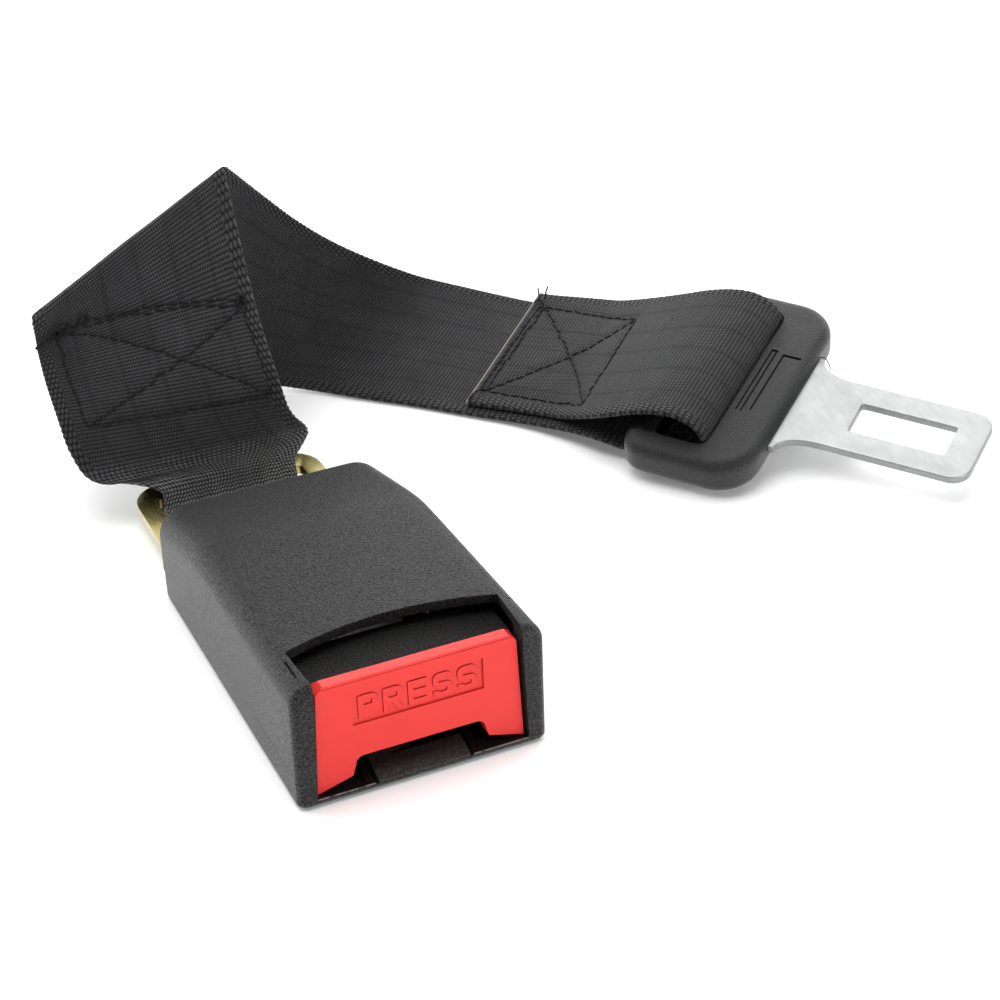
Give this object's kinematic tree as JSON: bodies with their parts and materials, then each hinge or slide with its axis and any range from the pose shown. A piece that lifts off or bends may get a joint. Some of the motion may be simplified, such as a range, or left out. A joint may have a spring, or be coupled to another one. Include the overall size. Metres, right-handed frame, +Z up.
{
  "type": "seat belt extender",
  "caption": "Seat belt extender: push-button buckle and latch tongue joined by a folded length of black webbing, lying as put down.",
  "frame": {"origin": "centre of the buckle's flat underside, which lies on the floor", "axes": "+Z up, -Y out of the buckle's button end, +Y towards the webbing, +X towards the tongue"},
  "size_m": [0.1973, 0.1742, 0.0659],
  "materials": {
    "charcoal_plastic": "fine grain",
    "black_plastic": "smooth",
    "grip_plastic": "satin",
    "red_plastic": "satin",
    "bright_steel": "bright plated",
    "yellow_zinc_steel": "yellow zinc plated",
    "spring_steel": "drawn wire",
    "black_webbing": "woven polyester",
    "black_thread": "sewn"
  },
  "bodies": {
    "strap": {"webbing_strap": "black_webbing", "stitching_buckle_end": "black_thread", "stitching_tongue_end": "black_thread"},
    "buckle": {"upper_cover": "charcoal_plastic", "lower_cover": "charcoal_plastic", "anchor_frame": "yellow_zinc_steel", "mouth_guide": "black_plastic", "latch_hinge_pin": "bright_steel", "button_spring_left": "spring_steel", "button_spring_right": "spring_steel", "ejector_spring": "spring_steel", "latch_spring": "spring_steel"},
    "button": {"button_cap": "red_plastic", "button_carrier": "black_plastic", "lock_pin": "bright_steel"},
    "ejector": {"ejector": "black_plastic"},
    "latch": {"latch_plate": "bright_steel"},
    "tongue": {"tongue_plate": "bright_steel", "tongue_grip": "grip_plastic"}
  },
  "joints": [
    {"name": "buckle_swing", "type": "hinge", "parent": "strap", "child": "buckle", "pos_m": [0, 0.074, 0.0052], "axis": [-1, 0, 0], "range_deg": [0, 40]},
    {"name": "button_press", "type": "slide", "parent": "buckle", "child": "button", "axis": [0, 1, 0], "range_m": [0, 0.005], "stiffness_N_per_m": 1200, "springref_m": -0.002, "deforming": ["button_spring_left", "button_spring_right"]},
    {"name": "ejector_slide", "type": "slide", "parent": "buckle", "child": "ejector", "axis": [0, 1, 0], "range_m": [0, 0.012], "stiffness_N_per_m": 400, "springref_m": -0.004, "deforming": ["ejector_spring"]},
    {"name": "latch_drop", "type": "hinge", "parent": "buckle", "child": "latch", "pos_m": [0, 0.014, 0.0143], "axis": [1, 0, 0], "range_deg": [0, 9], "deforming": ["latch_spring"]},
    {"name": "tongue_swing", "type": "hinge", "parent": "strap", "child": "tongue", "pos_m": [0.1098, 0.057, 0.0129], "axis": [-0.773, -0.5955, -0.2187], "range_deg": [0, 90]}
  ],
  "couplings": [
    {"joint": "latch_drop", "follows": "ejector_slide", "rad_per_m": 13.089}
  ]
}
